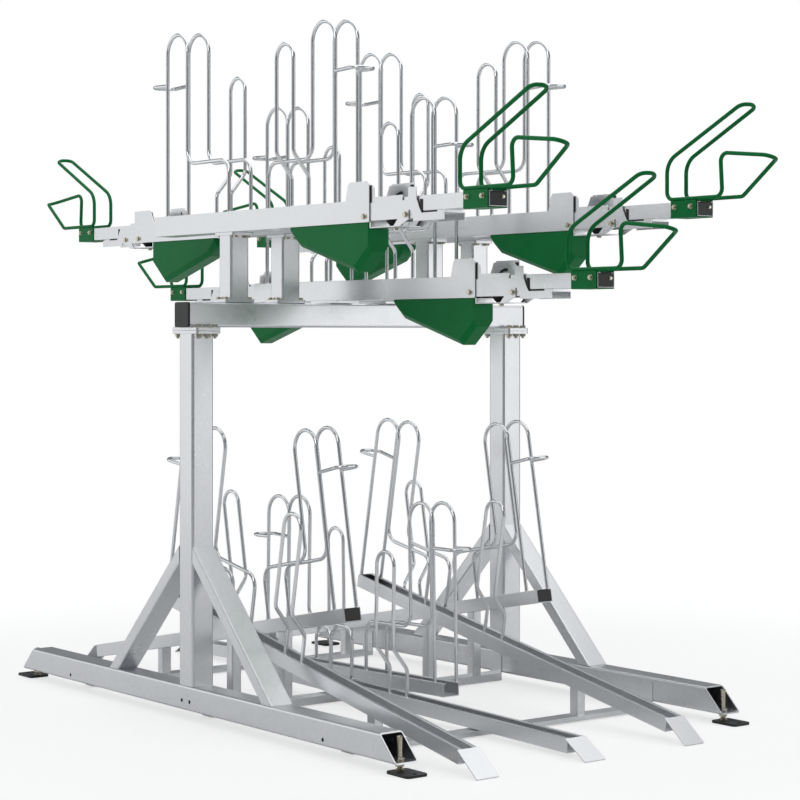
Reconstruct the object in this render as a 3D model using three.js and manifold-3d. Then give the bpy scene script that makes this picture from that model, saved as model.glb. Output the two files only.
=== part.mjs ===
// Two tier bike rack: three front-entry and three back-entry places on each tier.
// Millimetres, +Z up. X runs along the top beam, Y along the bikes. The origin is on the
// floor, under the middle of the top beam. Each place is drawn for the front side, where
// "out" is the distance from the top beam towards -Y, and back places are turned half round.
import * as THREE from 'three';
import * as BufferGeometryUtils from 'three/addons/utils/BufferGeometryUtils.js';
import Module from 'manifold-3d';

const wasm = await Module();
wasm.setup();

// Driving sizes of the whole rack
const placePitch = 200;             // across, between a front place and its back neighbour
const fitGap = 0.3;                 // between faces that are bolted or rest on each other
const overrun = 6;                  // how far a cut runs past what it cuts
const placeCount = 6;               // even places are entered from the front, odd from the back
const lowPlaceCount = 2;            // places in the middle, whose trays lie lower

// Lying base beams, square tube with slanted ends
const beamSize = 80;
const beamWall = 4;
const beamCorner = 7;
const baseSpread = 1284;            // between the middles of the two base beams
const baseLength = 2186;            // along the bottom edge
const baseLift = 31;                // underside above the floor
const baseHeight = 78;
const baseTop = baseLift + baseHeight;

// Posts and their flange plates
const postFlange = 10;
const flangeAcross = 90;
const flangeAlong = 150;
const postTop = 1232;               // top of the post's flange plate

// Top beam with its saddle plates and end caps
const beamPast = 48;                // past the middle of each post
const topBeamLength = baseSpread + 2 * beamPast;
const capFlange = 8;
const capPlug = 30;
const capPlay = 0.5;
const capSheet = 3;
const topBeamBottom = postTop + fitGap + postFlange;
const topBeamTop = topBeamBottom + beamSize;

// Braces, flat tube at 45 degrees
const braceDepth = 40;
const braceWall = 3;
const braceReach = 482;             // out to the brace's toe on the base beam

// Levelling feet
const footInset = 35;               // spindle in from the base beam's lower end
const footOut = baseLength / 2 - footInset;
const padAlong = 104;
const padAcross = 76;
const padThick = 8;
const padCorner = 14;
const padShift = 32;                // the pad sits further out than its spindle
const anchorRadius = 7;
const anchorInset = 17;             // in from the pad's outer end
const spindleRadius = 8;
const spindleTop = 104;
const nutRadius = 13;
const nutHeight = 13;
const innerNutHeight = 10;           // the second nut, on the beam's bottom wall
const holePlay = 0.6;

// Ties between the base beams, and the legs that stand on them
const tieWidth = 60;
const tieLift = 4;
const tieOut = 755;                 // front and back ties
const tieSheet = 3;
const centreTieTop = 30;
const outerTieTop = 19;
const hookThick = 5;
const hookReach = 12;               // how far a hook goes through its slot
const hookBottom = 52;
const hookTop = 94;
const hookShift = 20;
const slotPlay = 0.6;
const legSize = 36;
const legWall = 3;
const legCorner = 5;

// Bent rod
const rodRadius = 6;
const handleRodRadius = 6;
const hoopSides = 4;
const handleRodSides = 4;
const bendStep = Math.PI / 4;
const tightBend = 30;               // up to this radius a bend is drawn by longer chords
const tightStep = Math.PI / 2;

// Tray channel, the same on both tiers
const trayHalf = 32;
const trayHeight = 44;
const traySheet = 2.5;
const trayLip = 11;
const rodAcross = trayHalf - trayLip / 2;

// Wheel holder: two tall hoops with a hump, staggered along the tray, and one small hoop
const holderOut = -362;             // back leg of the hoop on the left lip
const holderStagger = 46;           // the right hoop sits this much further out
const hoopBend = 62;                // radius of a tall hoop's top
const humpHeight = 168;
const humpLength = 250;             // from the hoop's inner leg to the hump's foot
const humpBend = 45;
const humpChords = 1;
const ringHalf = 44;                // of the lock ring behind the two tall hoops
const ringPast = 86;                // how far the ring passes the back leg on the left lip
const ringHeight = 436;
const ringBend = 30;
const smallHoopBend = 45;
const jogStart = 88;
const jogEnd = 158;
const jogAcross = 57;
const upperHoopHeight = 600;
const upperSmallHeight = 489;
const upperSmallOut = 410;
const lowerHoopHeight = 580;
const lowerSmallHeight = 460;
const lowerSmallOut = 380;

// Lower trays
const lowerTrayBack = -368;
const lowerTrayFront = 1186;
const highBackTop = 364;            // top of a raised tray at its back end
const highFrontTop = 72;
const lowBackTop = 88;
const lowFrontTop = 57;
const rampReach = 86;
const rampHalf = 40;
const rampSheet = 3;
const rampToe = 2;                  // toe above the floor

// Upper rails, fixed: an open channel with a cheek on each side of its mouth
const highRail = 1547;              // underside of a high rail
const railPlate = 8;                // plate between a low rail and the top beam
const lowRail = topBeamTop + fitGap + railPlate;
const railSheet = 3;
const railHeight = 65;
const railBack = -422;
const railFront = 781;
const cheekBack = 664;
const cheekTop = 120;
const cheekSlope = 12;
const cheekRound = 9;
const earSideFront = 970;           // the right wall reaches further out than the left
const earSideHeight = 50;
const rightCheekBack = 756;
const rightCheekFront = 892;
const rightCheekSlope = 29;
const rightCheekTop = 113;
const glideOut = -300;
const glideLength = 30;
const glideInner = 22;
const glideOuter = 30;

// Short posts under the high rails
const shortPostSize = 70;
const shortPostWall = 3;
const shortPostFlange = 10;
const shortPostCorner = 6;
const shortPlateLong = 110;
const drainHole = 8;

// Tilting cradle between the rail's mouth and the tray
const cradleSheet = 2.5;
const slidePlay = 1.2;              // tray to cradle, on each side
const cradlePlay = 0.6;             // cradle to rail, on each side
const cradleBack = 690;
const cradleWallTop = 56;
const cradleEnd = 1000;
const cradleSlant = 22;
const stepFront = 932;
const stepTop = 72;
const tabBack = 962;
const tabTop = 92;
const sillBack = 985;
const sillFront = 1125;
const sillBottom = -6;
const sillTop = 14;
const leftEarFront = 797;
const rightEarBack = 763;
const earTop = 108;
const earSlope = 17;
const arcRadius = 38;
const arcWidth = 10;
const arcOut = 836;
const arcUp = 47;
const arcFrom = 75;                 // degrees, from straight out
const arcTo = 165;
const pivotOut = 955;
const pivotUp = 14;
const pivotRadius = 5;
const pivotSides = 8;
const rearPadOut = 800;
const rearPadLength = 30;
const frontPadStart = 1012;

// Bracket under the rail's mouth, with its rubber buffer
const bracketDrop = 18;
const bracketSheet = 3;
const bracketBack = 774;
const bracketLeg = 6;
const bracketFront = 925;
const bracketHalf = 35;
const crossStrip = 30;
const lugRise = 26;
const bufferOut = 855;
const bufferTopRadius = 27;
const bufferFootRadius = 12;

// Upper trays
const trayRise = 22;                // tray's underside above the rail's underside
const upperTrayBack = railBack;
const upperTrayFront = 1315;
const stopLength = 22;
const stopHalf = 20;
const stopDepth = 10;

// Spring housing, folded sheet under the rail
const housingHalf = 38;
const housingSheet = 2;
const housingBack = 372;
const housingFront = 771;
const housingDepth = 142;
const housingHeel = 61;             // depth at the back end
const housingNose = 86;             // depth at the front face
const housingTip = 700;             // out to the deepest point
const housingHeelOut = 420;
const housingChamfer = 14;

// Pull handle: one bent rod on a saddle that clamps the tray's end
const saddleBack = 1205;
const saddleFront = 1311;
const saddleSheet = 3;
const saddleRise = 4;               // above the tray's lips
const handleHalf = 28;
const tallLegOut = 1183;
const handleStagger = 24;
const tallLegTop = 114;             // where the tall loop's legs lean outward
const tallBend = 60;
const tallTipOut = 1484;
const tallTipUp = 262;
const tallTipLead = 17;             // the right side of the tall loop reaches further
const lowPostOut = 1410;
const lowPostLean = 8;
const lowPostTop = 128;
const lowTipOut = 1562;
const lowTipUp = 104;
const lowTipLead = 68;              // the left side of the low loop reaches further
const lowTipDrop = 8;
const lowHeelOut = 1437;
const handleBend = 24;
const rodSink = 1;                  // how deep a rod's foot is welded in

// Places on each side of the middle
const railInner = trayHalf + slidePlay + 2 * cradleSheet + cradlePlay;
const railHalf = railInner + railSheet;
const earInner = trayHalf + slidePlay;
const earOuter = earInner + cradleSheet;
const cradleHalf = earOuter + cradleSheet;
const baseInner = baseSpread / 2 - beamSize / 2;

// Finishes
const galvanised = { color: 0xb9bdc0, roughness: 0.42, metalness: 0.75 };
const greenPaint = { color: 0x0b6b35, roughness: 0.45, metalness: 0.0 };
const blackPlastic = { color: 0x1c1d1f, roughness: 0.6, metalness: 0.0 };

// A geometry as a solid for joining and cutting, and back again
function solid(geometry) {
  const bare = geometry.clone();
  bare.deleteAttribute('normal');
  bare.deleteAttribute('uv');
  const merged = BufferGeometryUtils.mergeVertices(bare);
  return new wasm.Manifold(new wasm.Mesh({
    numProp: 3,
    vertProperties: new Float32Array(merged.attributes.position.array),
    triVerts: new Uint32Array(merged.index.array),
  }));
}

function geometryOf(body) {
  const mesh = body.getMesh();
  const geometry = new THREE.BufferGeometry();
  const places = new Float32Array(mesh.vertProperties);
  geometry.setAttribute('position', new THREE.BufferAttribute(places, 3));
  geometry.setIndex(new THREE.BufferAttribute(new Uint32Array(mesh.triVerts), 1));
  return geometry;
}

const join = (geometries) => geometries.map(solid).reduce((whole, next) => whole.add(next));
const cut = (body, geometries) => geometries.map(solid).reduce((rest, tool) => rest.subtract(tool), body);

// A closed outline from points
const outline = (points) => new THREE.Shape(points.map(([a, b]) => new THREE.Vector2(a, b)));

// A section (x, z) drawn out along the tray, between two outward distances
function along(section, from, to) {
  const flat = { depth: to - from, bevelEnabled: false, curveSegments: 1 };
  return new THREE.ExtrudeGeometry(section, flat).rotateX(Math.PI / 2).translate(0, -from, 0);
}

// A side view (out, z) given a thickness between two x places
const sideBasis = new THREE.Matrix4().makeBasis(
  new THREE.Vector3(0, -1, 0), new THREE.Vector3(0, 0, 1), new THREE.Vector3(-1, 0, 0));
function across(side, low, high, curveSegments = 1) {
  const geometry = new THREE.ExtrudeGeometry(side, { depth: high - low, bevelEnabled: false, curveSegments });
  return geometry.applyMatrix4(sideBasis).translate(high, 0, 0);
}

// A section (x, y) drawn upwards
function upright(section, from, to) {
  const flat = { depth: to - from, bevelEnabled: false, curveSegments: 1 };
  return new THREE.ExtrudeGeometry(section, flat).translate(0, 0, from);
}

// A block between two x places, two outward distances and two heights
function block(xs, outs, heights) {
  const size = [xs[1] - xs[0], outs[1] - outs[0], heights[1] - heights[0]];
  const geometry = new THREE.BoxGeometry(...size);
  return geometry.translate((xs[0] + xs[1]) / 2, -(outs[0] + outs[1]) / 2, (heights[0] + heights[1]) / 2);
}

// A round bar across the tray, its middle at an outward distance and a height
function crossBar(radius, xs, out, height, sides) {
  const geometry = new THREE.CylinderGeometry(radius, radius, xs[1] - xs[0], sides);
  return geometry.rotateZ(Math.PI / 2).translate((xs[0] + xs[1]) / 2, -out, height);
}

// A rounded rectangle about the middle
function roundedRect(halfA, halfB, corner, shape = new THREE.Shape()) {
  shape.moveTo(-halfA + corner, -halfB);
  shape.lineTo(halfA - corner, -halfB);
  shape.absarc(halfA - corner, -halfB + corner, corner, -Math.PI / 2, 0);
  shape.lineTo(halfA, halfB - corner);
  shape.absarc(halfA - corner, halfB - corner, corner, 0, Math.PI / 2);
  shape.lineTo(-halfA + corner, halfB);
  shape.absarc(-halfA + corner, halfB - corner, corner, Math.PI / 2, Math.PI);
  shape.lineTo(-halfA, -halfB + corner);
  shape.absarc(-halfA + corner, -halfB + corner, corner, Math.PI, 3 * Math.PI / 2);
  return shape;
}

// The section of a rounded tube
function tubeSection(width, height, round, wall) {
  const section = roundedRect(width / 2, height / 2, round);
  const [a, b] = [width / 2 - wall, height / 2 - wall];
  const inside = [[-a, -b], [a, -b], [a, b], [-a, b]].map((at) => new THREE.Vector2(...at));
  section.holes.push(new THREE.Path(inside));
  return section;
}

// The middle line of a rod through corners, each with its bend radius
function bentRoute(corners) {
  const route = [corners[0].at];
  for (let i = 1; i < corners.length - 1; i += 1) {
    const { at, bend, chords } = corners[i];
    if (!bend) {
      route.push(at);
      continue;
    }
    const back = corners[i - 1].at.clone().sub(at).normalize();
    const ahead = corners[i + 1].at.clone().sub(at).normalize();
    const turn = Math.PI - back.angleTo(ahead);
    const start = at.clone().addScaledVector(back, bend * Math.tan(turn / 2));
    const end = at.clone().addScaledVector(ahead, bend * Math.tan(turn / 2));
    const centre = at.clone().addScaledVector(back.clone().add(ahead).normalize(), bend / Math.cos(turn / 2));
    const arm = start.clone().sub(centre);
    const axis = arm.clone().cross(end.clone().sub(centre)).normalize();
    const step = bend > tightBend ? bendStep : tightStep;
    const steps = chords || Math.max(1, Math.round(turn / step));
    for (let k = 0; k <= steps; k += 1) {
      const point = arm.clone().applyAxisAngle(axis, turn * k / steps).add(centre);
      if (point.distanceTo(route.at(-1)) > fitGap) route.push(point);
    }
  }
  route.push(corners.at(-1).at);
  return route;
}

// A curve that runs straight from point to point of a route
class StraightRuns extends THREE.Curve {
  constructor(route) {
    super();
    this.route = route;
  }
  getPoint(t) {
    const last = this.route.length - 1;
    const index = Math.min(Math.floor(t * last), last - 1);
    return this.route[index].clone().lerp(this.route[index + 1], t * last - index);
  }
  getPointAt(t) {
    return this.getPoint(t);
  }
  getTangentAt(t) {
    const last = this.route.length - 1;
    const index = Math.round(t * last);
    const before = Math.max(index, 1);
    const after = Math.min(index, last - 1);
    const arriving = this.route[before].clone().sub(this.route[before - 1]).normalize();
    const leaving = this.route[after + 1].clone().sub(this.route[after]).normalize();
    return arriving.add(leaving).normalize();
  }
}

// A rod along a bent route, with few sides that give it the area of the round one
function rod(corners, radius, sides) {
  const route = bentRoute(corners);
  const section = new THREE.Shape();
  const turn = 2 * Math.PI / sides;
  const reach = radius * Math.sqrt(turn / Math.sin(turn));
  for (let i = 0; i < sides; i += 1) {
    const angle = (i + 1 / 2) * turn;
    section[i ? 'lineTo' : 'moveTo'](reach * Math.cos(angle), reach * Math.sin(angle));
  }
  const path = new StraightRuns(route);
  const swept = { steps: route.length - 1, extrudePath: path, bevelEnabled: false };
  return new THREE.ExtrudeGeometry(section, swept);
}

// A corner of a rod: across, outward and up, with its bend radius and the chords that draw it
const corner = (x, out, up, bend = 0, chords = 0) => ({ at: new THREE.Vector3(x, -out, up), bend, chords });

// Pieces of the wheel holder on a tray whose lips' top is at height 0
function tallHoop(side, out, height) {
  const x = side * rodAcross;
  const inner = out + 2 * hoopBend;
  const foot = inner + humpLength;
  return rod([
    corner(x, out, -rodSink), corner(x, out, height, hoopBend), corner(x, inner, height, hoopBend),
    corner(x, inner, humpHeight, humpBend, humpChords), corner(x, foot, humpHeight, humpBend, humpChords),
    corner(x, foot, -rodSink),
  ], rodRadius, hoopSides);
}

// A level ring from one tall hoop's back leg round behind the wheel to the other's
function lockRing(out) {
  const back = out - ringPast;
  return rod([
    corner(rodAcross, out + holderStagger, ringHeight), corner(ringHalf, back, ringHeight, ringBend, 1),
    corner(-ringHalf, back, ringHeight, ringBend, 1), corner(-rodAcross, out, ringHeight),
  ], rodRadius, hoopSides);
}

function smallHoop(out, height) {
  const x = -rodAcross;
  const far = x - jogAcross;
  const leg = (place) => [
    corner(x, place, -rodSink), corner(x, place, jogStart), corner(far, place, jogEnd),
  ];
  return rod([
    ...leg(out - smallHoopBend),
    corner(far, out - smallHoopBend, height, smallHoopBend),
    corner(far, out + smallHoopBend, height, smallHoopBend),
    ...leg(out + smallHoopBend).reverse(),
  ], rodRadius, hoopSides);
}

function wheelHolder(hoopHeight, smallHeight, smallOut) {
  return [
    tallHoop(-1, holderOut, hoopHeight), tallHoop(1, holderOut + holderStagger, hoopHeight),
    lockRing(holderOut), smallHoop(smallOut, smallHeight),
  ];
}

// The tray's channel section, its lips' top at height 0
function channelSection() {
  const inside = trayHalf - traySheet;
  const lip = trayHalf - trayLip;
  const right = [
    [trayHalf, -trayHeight], [trayHalf, 0], [lip, 0], [lip, -traySheet],
    [inside, -traySheet], [inside, traySheet - trayHeight],
  ];
  const left = right.map(([x, z]) => [-x, z]).reverse();
  return outline([...right, ...left]);
}

// An upper tray in its rail's frame, with the stop under its back end
function upperTray() {
  const top = trayRise + trayHeight;
  const channel = along(channelSection(), upperTrayBack, upperTrayFront);
  const stop = block([-stopHalf, stopHalf], [upperTrayBack, upperTrayBack + stopLength],
    [-trayHeight - stopDepth, traySheet - trayHeight]);
  const parts = [channel, stop, ...wheelHolder(upperHoopHeight, upperSmallHeight, upperSmallOut)];
  return geometryOf(join(parts)).translate(0, 0, top);
}

// A lower tray, tilted so that its ends have the given heights, with its ramp
function lowerTray(backTop, frontTop) {
  const run = lowerTrayFront - lowerTrayBack;
  const tilt = Math.atan((backTop - frontTop) / run);
  const middleTop = backTop + lowerTrayBack * Math.tan(tilt);
  const channel = along(channelSection(), lowerTrayBack / Math.cos(tilt), lowerTrayFront / Math.cos(tilt));
  const parts = [channel, ...wheelHolder(lowerHoopHeight, lowerSmallHeight, lowerSmallOut)];
  parts.forEach((geometry) => geometry.rotateX(tilt).translate(0, 0, middleTop));
  const ramp = across(outline([
    [lowerTrayFront - rampSheet, frontTop], [lowerTrayFront, frontTop],
    [lowerTrayFront + rampReach, rampToe], [lowerTrayFront + rampReach - 2 * rampSheet, rampToe],
    [lowerTrayFront - rampSheet, frontTop - rampSheet],
  ]), -rampHalf, rampHalf);
  return geometryOf(join([...parts, ramp]));
}

// The underside of a lower tray at an outward distance
function trayUnderside(backTop, frontTop, out) {
  const slope = (backTop - frontTop) / (lowerTrayFront - lowerTrayBack);
  const thickness = trayHeight / Math.cos(Math.atan(slope));
  return backTop + (lowerTrayBack - out) * slope - thickness;
}

// A fixed upper rail, its underside at height 0
function upperRail(withPlate) {
  const leftWall = outline([
    [railBack, 0], [railFront, 0], [railFront, cheekTop - cheekRound], [railFront - cheekRound, cheekTop],
    [cheekBack + cheekSlope + cheekRound, cheekTop], [cheekBack + cheekSlope, cheekTop - cheekRound],
    [cheekBack, railHeight], [railBack, railHeight],
  ]);
  const rightWall = outline([
    [railBack, 0], [earSideFront, 0], [earSideFront, earSideHeight], [rightCheekFront, earSideHeight],
    [rightCheekFront, rightCheekTop], [rightCheekBack + rightCheekSlope, rightCheekTop],
    [rightCheekBack, railHeight], [railBack, railHeight],
  ]);
  const lug = outline([
    [bracketFront - crossStrip, -bracketDrop], [bracketFront, -bracketDrop],
    [pivotOut + lugRise / 2, pivotUp - lugRise / 2], [pivotOut + lugRise / 2, pivotUp + lugRise / 2],
    [pivotOut - lugRise / 2, pivotUp + lugRise / 2],
  ]);
  const parts = [
    across(leftWall, -railHalf, -railInner),
    across(rightWall, railInner, railHalf),
    block([-railHalf, railHalf], [railBack, railFront], [0, railSheet]),
    block([-bracketHalf, bracketHalf], [bracketBack, bracketBack + bracketLeg],
      [-bracketDrop, railSheet / 2]),
    block([-bracketHalf, bracketHalf], [bracketBack, bracketFront],
      [-bracketDrop, bracketSheet - bracketDrop]),
    block([-railHalf, railHalf], [bracketFront - crossStrip, bracketFront],
      [-bracketDrop, bracketSheet - bracketDrop]),
    across(lug, -railHalf, -railInner),
    across(lug, railInner, railHalf),
    buffer(),
  ];
  for (const side of [-1, 1]) {
    const glide = [side * glideInner, side * glideOuter].sort((a, b) => a - b);
    parts.push(block(glide, [glideOut, glideOut + glideLength], [railSheet / 2, trayRise - fitGap]));
    const stub = [side * (earOuter - fitGap), side * railHalf].sort((a, b) => a - b);
    parts.push(crossBar(pivotRadius, stub, pivotOut, pivotUp, pivotSides));
  }
  if (withPlate) {
    parts.push(block([-flangeAcross / 2, flangeAcross / 2], [-flangeAlong / 2, flangeAlong / 2],
      [-railPlate, railSheet / 2]));
  }
  return geometryOf(join(parts));
}

// The rubber buffer on the bracket, which carries the level cradle
function buffer() {
  const foot = bracketSheet / 2 - bracketDrop;
  const top = railSheet;
  const profile = [[0, foot], [bufferFootRadius, foot], [bufferTopRadius, top], [0, top]];
  const geometry = new THREE.LatheGeometry(profile.map(([r, z]) => new THREE.Vector2(r, z)), 8);
  return geometry.rotateX(Math.PI / 2).translate(0, -bufferOut, 0);
}

// The tilting cradle: floor, stepped walls, two ears and the sill under the tray
function tiltCradle() {
  const floor = railSheet + fitGap;
  const lowerWall = outline([
    [cradleBack, floor], [sillBack, floor], [sillBack, sillBottom], [sillFront, sillBottom],
    [sillFront, sillTop + cradleSheet], [cradleEnd + cradleSlant, sillTop + cradleSheet],
    [cradleEnd, cradleWallTop], [cradleBack, cradleWallTop],
  ]);
  const stepFoot = cradleWallTop - cradleSheet;
  const leftEar = outline([
    [cradleBack, stepFoot], [stepFront, stepFoot], [stepFront, stepTop], [leftEarFront, stepTop],
    [leftEarFront, earTop - earSlope / 2], [leftEarFront - earSlope / 2, earTop],
    [cradleBack + earSlope, earTop], [cradleBack, stepTop],
  ]);
  const rightEar = outline([
    [cradleBack, stepFoot], [stepFront, stepFoot], [stepFront, stepTop], [rightCheekFront, stepTop],
    [rightCheekFront, earTop - earSlope], [rightCheekFront - earSlope, earTop],
    [rightEarBack + earSlope, earTop], [rightEarBack, stepTop], [cradleBack, stepTop],
  ]);
  const arch = new THREE.Shape();
  const [from, to] = [arcFrom, arcTo].map((angle) => angle * Math.PI / 180);
  arch.absarc(arcOut, arcUp, arcRadius + arcWidth / 2, from, to, false);
  arch.absarc(arcOut, arcUp, arcRadius - arcWidth / 2, to, from, true);
  const parts = [
    block([-cradleHalf, cradleHalf], [cradleBack, sillBack + cradleSheet], [floor, floor + cradleSheet]),
    block([-cradleHalf, cradleHalf], [cradleEnd, sillFront], [sillTop, sillTop + cradleSheet]),
    block([-cradleHalf, -earOuter], [tabBack, cradleEnd], [cradleWallTop - cradleSheet, tabTop]),
    block([-trayHalf, trayHalf], [frontPadStart, sillFront], [sillTop, trayRise - fitGap]),
    block([-glideOuter, glideOuter], [rearPadOut, rearPadOut + rearPadLength], [floor, trayRise - fitGap]),
  ];
  for (const [side, ear] of [[-1, leftEar], [1, rightEar]]) {
    const span = (a, b) => [side * a, side * b].sort((p, q) => p - q);
    parts.push(across(lowerWall, ...span(earOuter, cradleHalf)));
    parts.push(across(ear, ...span(earInner, earOuter)));
    parts.push(block(span(earInner, cradleHalf), [cradleBack, stepFront], [stepFoot, cradleWallTop]));
  }
  const holes = [-1, 1].map((side) => {
    const span = [side * (earOuter - overrun), side * (cradleHalf + overrun)].sort((a, b) => a - b);
    return crossBar(pivotRadius + holePlay, span, pivotOut, pivotUp, pivotSides);
  });
  const slot = across(arch, earInner - overrun, earOuter + fitGap, 2);
  return geometryOf(cut(join(parts), [...holes, slot]));
}

// The form of the spring housing, or of the room inside its sheet
function housingForm(inset, top) {
  const past = 2 * housingChamfer;
  const rise = housingChamfer + inset;
  const side = outline([
    [housingBack - past, past], [housingBack + inset, rise - 3 * housingChamfer / 2],
    [housingHeelOut, rise - housingHeel], [housingTip, rise - housingDepth],
    [housingFront + past, rise - housingNose + past], [housingFront + past, past],
  ]);
  const depth = 2 * (housingHalf - housingChamfer - inset);
  const folded = new THREE.ExtrudeGeometry(side, {
    depth, bevelSize: housingChamfer, bevelThickness: housingChamfer, bevelSegments: 1, curveSegments: 1,
  }).applyMatrix4(sideBasis).translate(depth / 2, 0, 0);
  const half = housingHalf - inset;
  const kept = block([-half, half], [housingBack + inset, housingFront - inset], [-housingDepth - past, top]);
  return solid(folded).intersect(solid(kept));
}

// The spring housing: a folded sheet tub under the rail, its two lower edges chamfered
function springHousing() {
  return geometryOf(housingForm(0, -fitGap).subtract(housingForm(housingSheet, overrun)));
}

// The pull handle: a saddle under the tray's end with two loops of bent rod
function pullHandle() {
  const inside = trayHalf + slidePlay / 2;
  const out = inside + saddleSheet;
  const top = trayRise + trayHeight + saddleRise;
  const bottom = trayRise - fitGap;
  const lip = trayHalf - trayLip;
  const right = [
    [out, bottom - saddleSheet], [out, top], [lip, top], [lip, top - saddleSheet],
    [inside, top - saddleSheet], [inside, bottom],
  ];
  const sleeve = outline([...right, ...right.map(([a, z]) => [-a, z]).reverse()]);
  const foot = top + handleRodRadius - rodSink;
  const x = handleHalf;
  const weld = (saddleBack + saddleFront) / 2;      // where the rod's two ends meet
  const loops = rod([
    corner(-x, weld - fitGap, foot), corner(-x, tallLegOut, foot, handleBend),
    corner(-x, tallLegOut, foot + tallLegTop, tallBend),
    corner(-x, tallTipOut, foot + tallTipUp, handleBend),
    corner(x, tallTipOut + tallTipLead, foot + tallTipUp, handleBend),
    corner(x, tallLegOut + handleStagger, foot + tallLegTop, tallBend),
    corner(x, tallLegOut + handleStagger, foot, handleBend), corner(x, lowHeelOut, foot, handleBend),
    corner(x, lowTipOut, foot + lowTipUp - lowTipDrop, handleBend),
    corner(-x, lowTipOut + lowTipLead, foot + lowTipUp, handleBend),
    corner(-x, lowPostOut - lowPostLean, foot + lowPostTop, handleBend),
    corner(-x, lowPostOut, foot, handleBend), corner(-x, weld, foot),
  ], handleRodRadius, handleRodSides);
  return geometryOf(join([along(sleeve, saddleBack, saddleFront), loops]));
}

// A lying base beam with slanted ends, slots for the ties' hooks and a hole at each foot
function baseBeam(innerSide) {
  const ends = baseLength / 2;
  const slant = outline([
    [ends - baseHeight - overrun, baseTop + overrun], [ends + overrun, baseLift - overrun],
    [ends + overrun, baseTop + overrun],
  ]);
  const tube = along(tubeSection(beamSize, baseHeight, beamCorner, beamWall), -ends, ends);
  tube.translate(0, 0, baseLift + baseHeight / 2);
  const half = beamSize / 2;
  const cuts = [];
  for (const end of [1, -1]) {
    cuts.push(across(slant, -half - overrun, half + overrun).rotateZ(end > 0 ? 0 : Math.PI));
    const bore = spindleRadius + holePlay;
    const hole = new THREE.CylinderGeometry(bore, bore, 2 * beamWall, 6);
    cuts.push(hole.rotateX(Math.PI / 2).translate(0, end * footOut, baseLift + beamWall / 2));
  }
  for (const tie of [-tieOut, 0, tieOut]) {
    for (const side of [-1, 1]) {
      const middle = tie + side * hookShift;
      const reach = [half - beamWall - overrun, half + overrun];
      const span = innerSide > 0 ? reach : reach.map((place) => -place).reverse();
      cuts.push(block(span, [middle - hookThick / 2 - slotPlay, middle + hookThick / 2 + slotPlay],
        [hookBottom - slotPlay, hookTop + slotPlay]));
    }
  }
  return geometryOf(cut(solid(tube), cuts));
}

// A levelling foot: pad, threaded spindle and a nut on each side of the beam's bottom wall
function levellingFoot() {
  const pad = upright(roundedRect(padAcross / 2, padAlong / 2, padCorner), 0, padThick);
  pad.translate(0, -footOut - padShift, 0);
  const spindle = new THREE.CylinderGeometry(spindleRadius, spindleRadius, spindleTop - padThick / 2, 6);
  spindle.rotateX(Math.PI / 2).translate(0, -footOut, (spindleTop + padThick / 2) / 2);
  const nut = new THREE.CylinderGeometry(nutRadius, nutRadius, nutHeight, 6);
  nut.rotateX(Math.PI / 2).translate(0, -footOut, baseLift - fitGap - nutHeight / 2);
  const innerNut = new THREE.CylinderGeometry(nutRadius, nutRadius, innerNutHeight, 6);
  innerNut.rotateX(Math.PI / 2);
  innerNut.translate(0, -footOut, baseLift + beamWall + fitGap + innerNutHeight / 2);
  const anchor = new THREE.CylinderGeometry(anchorRadius, anchorRadius, padThick + overrun, 6);
  anchor.rotateX(Math.PI / 2).translate(0, -footOut - padShift - padAlong / 2 + anchorInset, padThick / 2);
  return geometryOf(cut(join([pad, spindle, nut, innerNut]), [anchor]));
}

// A main post with its flange plate
function mainPost() {
  const section = tubeSection(beamSize, beamSize, beamCorner, beamWall);
  const flange = roundedRect(flangeAcross / 2, flangeAlong / 2, beamCorner);
  return geometryOf(join([
    upright(section, baseTop + fitGap, postTop - postFlange / 2),
    upright(flange, postTop - postFlange, postTop),
  ]));
}

// A brace from a post's face down to the base beam, at 45 degrees
function brace() {
  const face = beamSize / 2 + fitGap;
  const foot = baseTop + fitGap;
  const drop = braceReach - face;
  const depth = braceDepth * Math.SQRT2;
  const wall = braceWall * Math.SQRT2;
  const outer = outline([
    [face, foot + drop], [face, foot + drop - depth], [braceReach - depth, foot], [braceReach, foot],
  ]);
  const inner = outline([
    [face - overrun, foot + drop + overrun - wall], [face - overrun, foot + drop + overrun + wall - depth],
    [braceReach + overrun + wall - depth, foot - overrun], [braceReach + overrun - wall, foot - overrun],
  ]);
  const half = beamSize / 2;
  const room = across(inner, braceWall - half, half - braceWall);
  return geometryOf(cut(solid(across(outer, -half, half)), [room]));
}

// The top beam with the two saddle plates that bolt to the posts' flanges
function topBeam() {
  const section = tubeSection(beamSize, beamSize, beamCorner, beamWall);
  const tube = across(section, -topBeamLength / 2, topBeamLength / 2);
  tube.translate(0, 0, topBeamBottom + beamSize / 2);
  const flange = roundedRect(flangeAcross / 2, flangeAlong / 2, beamCorner);
  const plates = [-1, 1].map((side) => upright(flange, postTop + fitGap, topBeamBottom + beamWall / 2)
    .translate(side * baseSpread / 2, 0, 0));
  return geometryOf(join([tube, ...plates]));
}

// An end cap with a hollow plug that sits in the beam's end
function beamCap() {
  const half = beamSize / 2;
  const flange = across(roundedRect(half, half, beamCorner), topBeamLength / 2 + fitGap,
    topBeamLength / 2 + fitGap + capFlange);
  const plugSize = beamSize - 2 * beamWall - 2 * capPlay;
  const plug = across(tubeSection(plugSize, plugSize, beamCorner - beamWall / 2, capSheet),
    topBeamLength / 2 - capPlug, topBeamLength / 2 + fitGap + capFlange / 2);
  return geometryOf(join([flange, plug])).translate(0, 0, topBeamBottom + half);
}

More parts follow.
